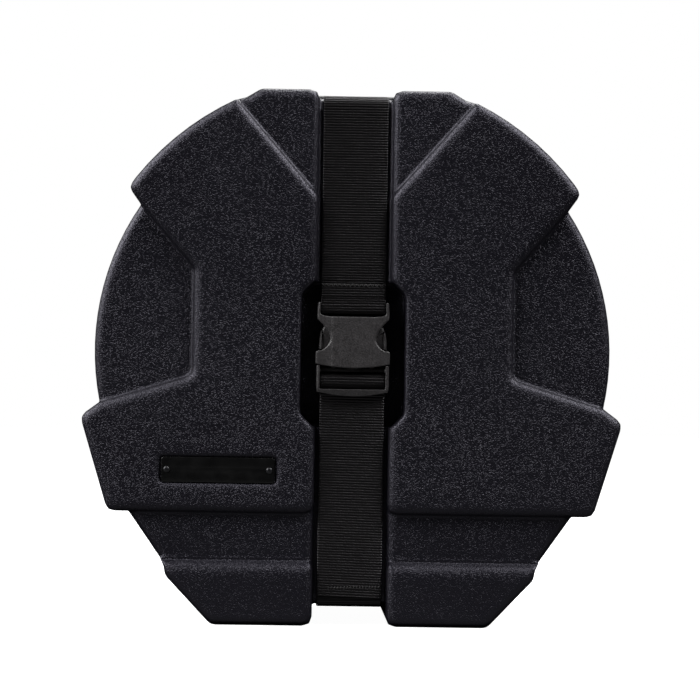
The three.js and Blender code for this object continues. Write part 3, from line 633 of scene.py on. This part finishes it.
def webbing(name, corners, lean=0.0):
    """Ribbed webbing that follows a route, with its ribs across it. Its far end may lean."""
    route = Route(corners)
    ribs = round(route.length / RIB_PITCH)
    rows = ribs * ROWS_PER_RIB
    columns = len(SECTION_SHARES)
    bm = bmesh.new()
    bmesh.ops.create_grid(bm, x_segments=columns, y_segments=rows, size=0.5)
    for vertex in bm.verts:
        across, through = SECTION_SHARES[round((vertex.co.x + 0.5) * columns) % columns]
        share = vertex.co.y + 0.5
        full = abs(math.sin(math.pi * share * ribs)) ** RIB_FULLNESS
        x = across * WEB_HALF_WIDTH * (1 - RIB_EDGE_SHARE * (1 - full))
        offset = through * WEB_THICKNESS / 2 * (1 - RIB_DEPTH_SHARE * (1 - full))
        where, ahead = route.at(share * route.length)
        where = where + ahead * x * lean * share * share + Vector((-ahead.y, ahead.x)) * offset
        vertex.co = (x, where.x, where.y)
    bmesh.ops.remove_doubles(bm, verts=bm.verts, dist=WELD)
    bmesh.ops.holes_fill(bm, edges=[edge for edge in bm.edges if edge.is_boundary], sides=0)
    bmesh.ops.recalc_face_normals(bm, faces=bm.faces)
    return new_piece(bm, name, WEBBING)


def strap_runs():
    """The two runs across the parting line."""
    for name, height in (("strap_over_top", STRAP_TOP), ("strap_underneath", STRAP_FOOT)):
        run = webbing(name, [(TOP_RUN_END, height), (-TOP_RUN_END, height)])
        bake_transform(run)


def strap_behind():
    """Down the back of the case, from the end of one run to the end of the other."""
    rear = webbing("strap_behind", [
        (TOP_RUN_END, STRAP_TOP), (STRAP_BACK, STRAP_TOP, STRAP_CORNER),
        (STRAP_BACK, STRAP_FOOT, STRAP_CORNER), (TOP_RUN_END, STRAP_FOOT)])
    declare(rear, "base", "webbing", "strap_rear")


def strap_to_socket():
    """Down the face to the socket's bar, round it and back up to where it is sewn."""
    upper = webbing("strap_to_socket", [
        (-TOP_RUN_END, STRAP_TOP), (STRAP_FRONT, STRAP_TOP, STRAP_CORNER), *SEWN_LOOP,
        (SECOND_LAYER, SEWN_END)])
    declare(upper, "lid", "webbing", "strap_front_upper")


def strap_to_plug():
    """Up the face to the plug's middle bar, over it and down again as the loose tail."""
    lower = webbing("strap_to_plug", [
        (-TOP_RUN_END, STRAP_FOOT), (STRAP_FRONT, STRAP_FOOT, STRAP_CORNER), *PLUG_LOOP,
        (SECOND_LAYER, TAIL_END)], TAIL_LEAN)
    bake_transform(lower)
    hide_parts("strap_front_lower")


def stitches(name, ends):
    """Short rounded threads, each from one end to the other."""
    bm = bmesh.new()
    for start, end in ends:
        reach = end - start
        turn = RIGHTWARD.rotation_difference(reach)
        size = Matrix.Diagonal((reach.length / 2 + THREAD_RADIUS, THREAD_RADIUS, THREAD_RADIUS, 1))
        place = Matrix.Translation((start + end) / 2) @ turn.to_matrix().to_4x4() @ size
        bmesh.ops.create_icosphere(bm, subdivisions=1, radius=1, matrix=place)
    return new_piece(bm, name, THREAD)


def sewn_row():
    """The zigzag that sews the strap's loop, from edge to edge."""
    reach = WEB_HALF_WIDTH - SEWN_STEP / 2
    count = int(2 * reach / SEWN_STEP)
    places = [Vector((-reach + i * SEWN_STEP, STITCHED_FACE, SEWN_ROW + (-1) ** i * SEWN_ROW_HALF))
              for i in range(count + 1)]
    declare(stitches("sewn_row", zip(places, places[1:])), "lid", "webbing")


def tail_row():
    """The slanting stitches that turn up the tail's end."""
    half = Vector((TAIL_STITCH_HALF * TAIL_SLANT_SHARE, 0, TAIL_STITCH_HALF))
    count = int((TAIL_ROW_RIGHT - TAIL_ROW_LEFT) / TAIL_STEP)
    ends = []
    for i in range(count + 1):
        x = TAIL_ROW_LEFT + i * TAIL_STEP
        middle = Vector((x, STITCHED_FACE, TAIL_ROW + x * TAIL_LEAN))
        ends.append((middle - half, middle + half))
    declare(stitches("tail_row", ends), "lid", "webbing")


strap_runs()
strap_behind()
strap_to_socket()
strap_to_plug()
sewn_row()
tail_row()


# Buckle

def clamped(value):
    return max(0.0, min(1.0, value))


def eased(value):
    """Rises slowly from 0, quickly in the middle and slowly up to 1."""
    share = clamped(value)
    return share * share * (3 - 2 * share)


def round_sides(piece, front, skin, radius):
    """Rounds the front's outer edges, at whatever half width the piece has at each height."""
    widths = {}
    for vertex in piece.data.vertices:
        if vertex.co.y < front + skin:
            level = round(vertex.co.z / SIDE_STEP)
            widths[level] = max(widths.get(level, 0.0), abs(vertex.co.x))

    def half_width(height):
        level = math.floor(height / SIDE_STEP)
        share = height / SIDE_STEP - level
        below = widths.get(level, 0.0)
        above = widths.get(level + 1, below)
        return below * (1 - share) + above * share

    def fall_away(point):
        depth = clamped((front + skin - point.y) / skin)
        beyond = clamped((abs(point.x) - half_width(point.z) + radius) / radius)
        return point + BACKWARD * depth * radius * (1 - math.sqrt(1 - SIDE_FULLNESS * beyond * beyond))

    reshape(piece, fall_away)


def socket_face(point):
    """The socket's front is flat in the middle and steps down to a wing on each side."""
    depth = clamped((SOCKET_LOW.y + SOCKET_SKIN - point.y) / SOCKET_SKIN)
    beyond = abs(point.x) - FACET_HALF
    drop = FACET_DROP * eased(beyond / FACET_DROP_WIDTH) + FACET_SLOPE * max(0.0, beyond)
    return point + BACKWARD * depth * drop


def socket():
    """The female half, its sides rounded and its face stepped."""
    piece = remould(new_piece(merged_copy("buckle_socket"), "socket_moulding", BUCKLE), SOCKET_MOULD)
    round_sides(piece, SOCKET_LOW.y, SOCKET_SKIN, SOCKET_SIDE)
    reshape(piece, socket_face)
    declare(piece, "lid", "buckle", "buckle_socket")


def plug_form(point):
    """The shoulder lies deep under the socket's foot, the end bar leans and its corners draw in."""
    if SHOULDER_FOOT < point.z < SHOULDER_HEAD and abs(point.x) < SHOULDER_HALF:
        return point + BACKWARD * SHOULDER_SET_BACK
    low = clamped((END_CORNER - point.z) / (END_CORNER - PLUG_LOW.z))
    front_share = clamped((END_BACK - point.y) / (END_BACK - PLUG_LOW.y))
    lean = END_LEAN * max(0.0, END_BAR_TOP - point.z) * front_share
    return Vector((point.x * (1 - END_TAPER * low * low), point.y + lean, point.z))


def plug():
    """The male half without its arms, which are pieces of their own."""
    piece = remould(new_piece(merged_copy("buckle_plug"), "plug_moulding", BUCKLE), PLUG_MOULD)
    round_sides(piece, PLUG_LOW.y, PLUG_SKIN, PLUG_SIDE)
    reshape(piece, plug_form)
    declare(piece, "plug", "buckle", "buckle_plug")


def release_arm(side, name):
    """A squeezable arm with a bevelled outer edge, its head hollowed and crossed by a line."""
    node = f"release_arm_{name}"
    low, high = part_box(node)
    middle = (low.y + high.y) / 2
    outermost = max(abs(low.x), abs(high.x))

    def is_outer(point):
        return (side * point.x > outermost - ARM_BAND_REACH
                and point.z > ARM_LINE_OUTER - ARM_BAND_DROP)

    def head_form(point):
        if point.y >= middle:
            return point
        inward = outermost - side * point.x
        line = ARM_LINE_OUTER - ARM_LINE_DROP * (inward / ARM_LINE_REACH) ** 2
        nearness = 1 - ((point.z - line) / ARM_LINE_HALF) ** 2
        hollow = ARM_HOLLOW * eased((inward - ARM_RIM) / ARM_RIM_SLOPE)
        return point + BACKWARD * (ARM_LINE_DEPTH * max(0.0, nearness) + hollow)

    piece = new_piece(bevelled_copy(node, ARM_BAND, is_outer), f"arm_{name}_moulding", BUCKLE)
    remould(piece, ARM_MOULD)
    reshape(piece, head_form)
    declare(piece, f"arm_{name}", "buckle", node)


socket()
plug()
release_arm(-1, "left")
release_arm(1, "right")


# Plate on the face

def face_plate():
    """The bare plate in its recess, with a small bevel round its front."""
    piece = new_piece(bevelled_copy("badge_plate", PLATE_EDGE), "face_plate", PLATE)
    piece.data.set_sharp_from_angle(angle=CREASE_ANGLE)
    declare(piece, "lid", "plate", "badge_plate")


def face_pin(name):
    """A pin of the plate, with a domed head that shows both lamps."""
    low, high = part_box(f"badge_pin_{name}")
    centre = Vector(((low.x + high.x) / 2, high.y, (low.z + high.z) / 2))
    head = (high.x - low.x) / 2
    shank = head / 2
    rim = high.y - low.y - FACE_PIN_RISE
    profile = [(0, 0), (shank, 0), (shank, rim), *dome(head, FACE_PIN_RISE, rim)]
    bm = turned(profile, centre, FRONTWARD, RIGHTWARD)
    declare(new_piece(bm, f"face_pin_{name}", STEEL), "lid", "steel", f"badge_pin_{name}")


face_plate()
face_pin("left")
face_pin("right")


# Foam

def pad(node, name, body, inner):
    """A foam pad with soft edges, crowned a little on the side that faces the drum."""
    low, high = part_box(node)
    centre = (low + high) / 2
    radius = (high.x - low.x) / 2
    piece = remould(new_piece(merged_copy(node), name, FOAM), PAD_MOULD)

    def crown(point):
        away = Vector((point.x, 0, point.z - centre.z)).length / radius
        depth = max(0.0, (point.y - centre.y) * inner.y / (high.y - centre.y))
        return point + inner * PAD_CROWN * depth * max(0.0, 1 - away * away)

    reshape(piece, crown)
    declare(piece, body, "foam", node)


def liner(node, name, body):
    """A foam strip against the wall, with its edges soft."""
    piece = remould(new_piece(merged_copy(node), name, FOAM), LINER_MOULD)
    declare(piece, body, "foam", node)


pad("lid_face_pad", "face_foam", "lid", BACKWARD)
pad("base_back_pad", "back_foam", "base", FRONTWARD)
for hand in ("left", "right"):
    liner(f"lid_liner_{hand}", f"lid_wall_foam_{hand}", "lid")
    liner(f"base_liner_{hand}", f"base_wall_foam_{hand}", "base")


# Handle and fasteners

def grip():
    """The carrying handle, its edges well rounded for the hand."""
    piece = remould(new_piece(merged_copy("handle_grip"), "carrying_grip", GRIP), GRIP_MOULD)
    declare(piece, "handle", "grip", "handle_grip")


def steel_mount(node, name, mould):
    """A bracket or its backing plate, with softened edges and filleted corners."""
    piece = remould(new_piece(merged_copy(node), name, STEEL), mould)
    declare(piece, "base", "steel", node)


def steel_turning(node, name, profile, along, across, steps=TURNED_STEPS):
    """A turned steel part about the middle of its node, its corners shaded sharp."""
    low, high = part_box(node)
    piece = new_piece(turned(profile, (low + high) / 2, along, across, steps), name, STEEL)
    piece.data.set_sharp_from_angle(angle=CREASE_ANGLE)
    declare(piece, "base", "steel", node)


def rivet(node, name, direction, head):
    """A rivet with a domed head that looks along a direction, and a flared tail."""
    low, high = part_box(node)
    half = abs((high - low).dot(direction)) / 2
    shank = head / 2
    tail = RIVET_RISE / 2
    rim = half - RIVET_RISE
    profile = [
        (0, -half), (shank + tail, -half), (shank + tail, tail - half), (shank, tail - half),
        (shank, rim), *dome(head, RIVET_RISE, rim),
    ]
    steel_turning(node, name, profile, direction, RIGHTWARD)


def washer(node, name):
    """A flat ring with its rim rounded."""
    low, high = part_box(node)
    outer = (high.x - low.x) / 2
    half = (high.y - low.y) / 2
    soft = half / 2
    profile = [
        (WASHER_BORE, -half), (outer - soft, -half), (outer, soft - half),
        (outer, half - soft), (outer - soft, half), (WASHER_BORE, half), (WASHER_BORE, -half),
    ]
    steel_turning(node, name, profile, BACKWARD, RIGHTWARD, WASHER_STEPS)


def hinge_pin(node, name):
    """A pin across a bracket, headed at both ends."""
    low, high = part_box(node)
    half = (high.x - low.x) / 2
    head = (high.z - low.z) / 2
    crown = dome(head, PIN_CROWN, half - PIN_CROWN)
    neck = half - PIN_HEAD_LENGTH
    near = [*reversed(crown), (head, neck), (PIN_SHANK, neck)]
    profile = near + [(radius, -place) for radius, place in reversed(near)]
    steel_turning(node, name, profile, RIGHTWARD, UPWARD)


grip()
for hand in ("left", "right"):
    steel_mount(f"handle_bracket_{hand}", f"bracket_{hand}", BRACKET_MOULD)
    steel_mount(f"handle_backing_plate_{hand}", f"backing_plate_{hand}", BACKING_MOULD)
    hinge_pin(f"handle_pin_{hand}", f"hinge_pin_{hand}")
    for place in ("inner", "outer"):
        rivet(f"handle_rivet_{hand}_{place}", f"bracket_rivet_{hand}_{place}", UPWARD, HANDLE_RIVET_HEAD)
for height in ("upper", "lower"):
    rivet(f"strap_rivet_{height}", f"band_rivet_{height}", BACKWARD, STRAP_RIVET_HEAD)
    washer(f"strap_washer_{height}", f"band_washer_{height}")


# Floor, light and camera

def floor():
    """A pale floor that gives its own light and doesn't light or mirror itself on the case."""
    bm = bmesh.new()
    bmesh.ops.create_grid(bm, x_segments=1, y_segments=1, size=FLOOR_HALF)
    bmesh.ops.translate(bm, verts=bm.verts, vec=(0, 0, -FLOOR_DROP))
    finish = Finish("pale_floor", (0.6, 0.6, 0.6), 0.7, {"Emission Strength": 1.0})
    where = finish.place()
    speckle = finish.noise(where, size=0.4)
    away = finish.node("ShaderNodeVectorMath", {"operation": "LENGTH"}, {0: where}, output=1)
    glow = finish.span(away, 0.3, 1.4)
    finish.feed("Base Color", finish.between(speckle, (0.6, 0.6, 0.61), (0.64, 0.64, 0.65)))
    finish.feed("Emission Color", finish.between(glow, (0.98, 0.98, 0.98), (1, 1, 1)))
    ground = new_piece(bm, "studio_floor", finish.material)
    ground.visible_glossy = False
    ground.visible_diffuse = False


def surround():
    """A white world that the camera sees and that doesn't light the case."""
    world = bpy.data.worlds.new("pale_surround")
    world.use_nodes = True
    world.node_tree.nodes["Background"].inputs["Color"].default_value = (1, 1, 1, 1)
    world.cycles_visibility.diffuse = False
    world.cycles_visibility.glossy = False
    bpy.context.scene.world = world


def soft_light(name, place, size, power, aim=CASE_MIDDLE):
    """A rectangular lamp that looks at the case and isn't seen itself."""
    lamp = bpy.data.lights.new(name, "AREA")
    lamp.shape = "RECTANGLE"
    lamp.size, lamp.size_y = size
    lamp.energy = power
    light = bpy.data.objects.new(name, lamp)
    light.location = place
    light.rotation_mode = "QUATERNION"
    light.rotation_quaternion = (aim - Vector(place)).to_track_quat("-Z", "Y")
    light.visible_camera = False
    bpy.context.scene.collection.objects.link(light)


def lights():
    """Two main lamps above, two weaker ones behind, and a faint glow off the floor in front."""
    soft_light("light_upper_left", place=(-1.75, -0.6, 1.45), size=(1.9, 1.9), power=95)
    soft_light("light_upper_right", place=(1.4, -0.5, 1.85), size=(1.6, 1.6), power=81)
    soft_light("light_rear_left", place=(-1.9, 0.9, 1.2), size=(1, 1), power=12)
    soft_light("light_rear_top", place=(0.3, 1.3, 2.3), size=(1.4, 1.2), power=48)
    soft_light("light_low_front", place=(0, -0.285, 0.001), size=(1.4, 0.34), power=0.35,
               aim=Vector((0, -0.285, 0.5)))


def camera():
    """Looks at the face from a distance, with the lens that gives the picture its width there."""
    data = bpy.data.cameras.new("front_camera")
    data.sensor_width = SENSOR_WIDTH
    data.lens = SENSOR_WIDTH * CAMERA_DISTANCE / PICTURE_WIDTH
    aim = Vector((CAMERA_SIDE, LID_LOW.y, CAMERA_HEIGHT))
    away = Vector((math.sin(CAMERA_YAW), -math.cos(CAMERA_YAW), 0))
    view = bpy.data.objects.new("front_camera", data)
    view.location = aim + away * CAMERA_DISTANCE
    view.rotation_mode = "QUATERNION"
    level = (-away).to_track_quat("-Z", "Y")
    view.rotation_quaternion = level @ Quaternion((0, 0, 1), CAMERA_ROLL)
    bpy.context.scene.collection.objects.link(view)
    bpy.context.scene.camera = view


floor()
surround()
lights()
camera()
bpy.context.scene.view_settings.view_transform = "Standard"
